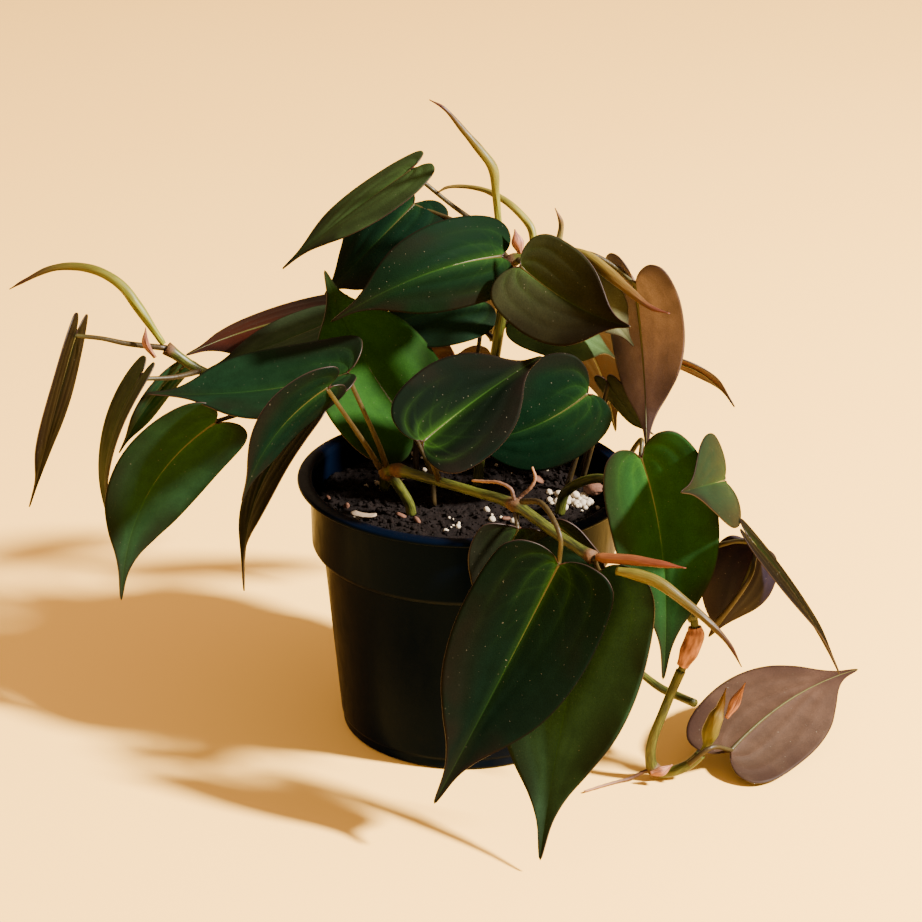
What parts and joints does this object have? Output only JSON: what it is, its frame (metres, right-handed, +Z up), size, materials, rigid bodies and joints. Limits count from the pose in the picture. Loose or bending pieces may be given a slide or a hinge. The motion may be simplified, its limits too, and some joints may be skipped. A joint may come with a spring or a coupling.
{
  "type": "potted philodendron",
  "caption": "Velvet-leaf trailing philodendron with heart-shaped drip-tip leaves, growing in a round black nursery pot of soil",
  "frame": {"origin": "middle of the pot's flat base, on the surface it stands on", "axes": "+Z up the pot's axis; +X to the plant's right, along its longest extent; -Y to the front, where two large leaves hang over the rim"},
  "size_m": [0.2769, 0.1957, 0.2081],
  "materials": {
    "pot_plastic": "satin moulded black plastic",
    "potting_soil": "damp peat with perlite and bark",
    "leaf_velvet_green": "velvety leaf, dark green above, pale red-brown below",
    "leaf_maroon": "velvety leaf, red-brown to pinkish",
    "stem": "smooth yellow-green stem",
    "rolled_leaf": "smooth yellow-green to salmon new growth",
    "papery_sheath": "dry papery salmon sheath",
    "air_root": "matt tan root",
    "bark": "rough orange bark"
  },
  "bodies": {
    "root": {"air_root_front_left": "air_root", "air_root_front_right": "air_root", "air_root_low": "air_root", "bark_chip": "bark", "bud_right": "rolled_leaf", "leaf_centre": "leaf_velvet_green", "leaf_centre_right": "leaf_velvet_green", "leaf_centre_upright": "leaf_velvet_green", "leaf_far_left": "leaf_velvet_green", "leaf_far_low": "leaf_velvet_green", "leaf_far_middle": "leaf_velvet_green", "leaf_far_right": "leaf_velvet_green", "leaf_front_behind": "leaf_velvet_green", "leaf_front_left": "leaf_velvet_green", "leaf_front_right": "leaf_velvet_green", "leaf_front_rim": "leaf_velvet_green", "leaf_left_behind": "leaf_velvet_green", "leaf_left_broad": "leaf_velvet_green", "leaf_left_dark": "leaf_velvet_green", "leaf_left_edge_on": "leaf_velvet_green", "leaf_left_hanging": "leaf_velvet_green", "leaf_left_near": "leaf_velvet_green", "leaf_left_outer": "leaf_maroon", "leaf_left_small": "leaf_velvet_green", "leaf_left_turned": "leaf_maroon", "leaf_middle_left": "leaf_velvet_green", "leaf_middle_right": "leaf_velvet_green", "leaf_on_the_surface": "leaf_maroon", "leaf_right_behind": "leaf_maroon", "leaf_right_hanging": "leaf_velvet_green", "leaf_right_narrow": "leaf_velvet_green", "leaf_right_sideways": "leaf_velvet_green", "leaf_right_small": "leaf_velvet_green", "leaf_right_turned": "leaf_maroon", "leaf_right_underside": "leaf_maroon", "leaf_top_left": "leaf_velvet_green", "leaf_top_left_back": "leaf_velvet_green", "leaf_upper_front": "leaf_velvet_green", "leaf_upper_right": "leaf_maroon", "leaf_upper_right_back": "leaf_velvet_green", "pot": "pot_plastic", "rolled_leaf_front": "rolled_leaf", "rolled_leaf_front_low": "rolled_leaf", "rolled_leaf_left": "rolled_leaf", "rolled_leaf_right": "rolled_leaf", "rolled_leaf_top": "rolled_leaf", "sheath_bud": "papery_sheath", "sheath_left": "papery_sheath", "sheath_low": "papery_sheath", "sheath_right": "papery_sheath", "sheath_top": "papery_sheath", "shoot_top_curled": "rolled_leaf", "shoot_top_short": "rolled_leaf", "side_stem_right": "stem", "soil": "potting_soil", "vine_front": "stem", "vine_left": "stem", "vine_middle": "stem", "vine_right_over_rim": "stem", "vine_right_trailing": "stem"}
  },
  "joints": []
}
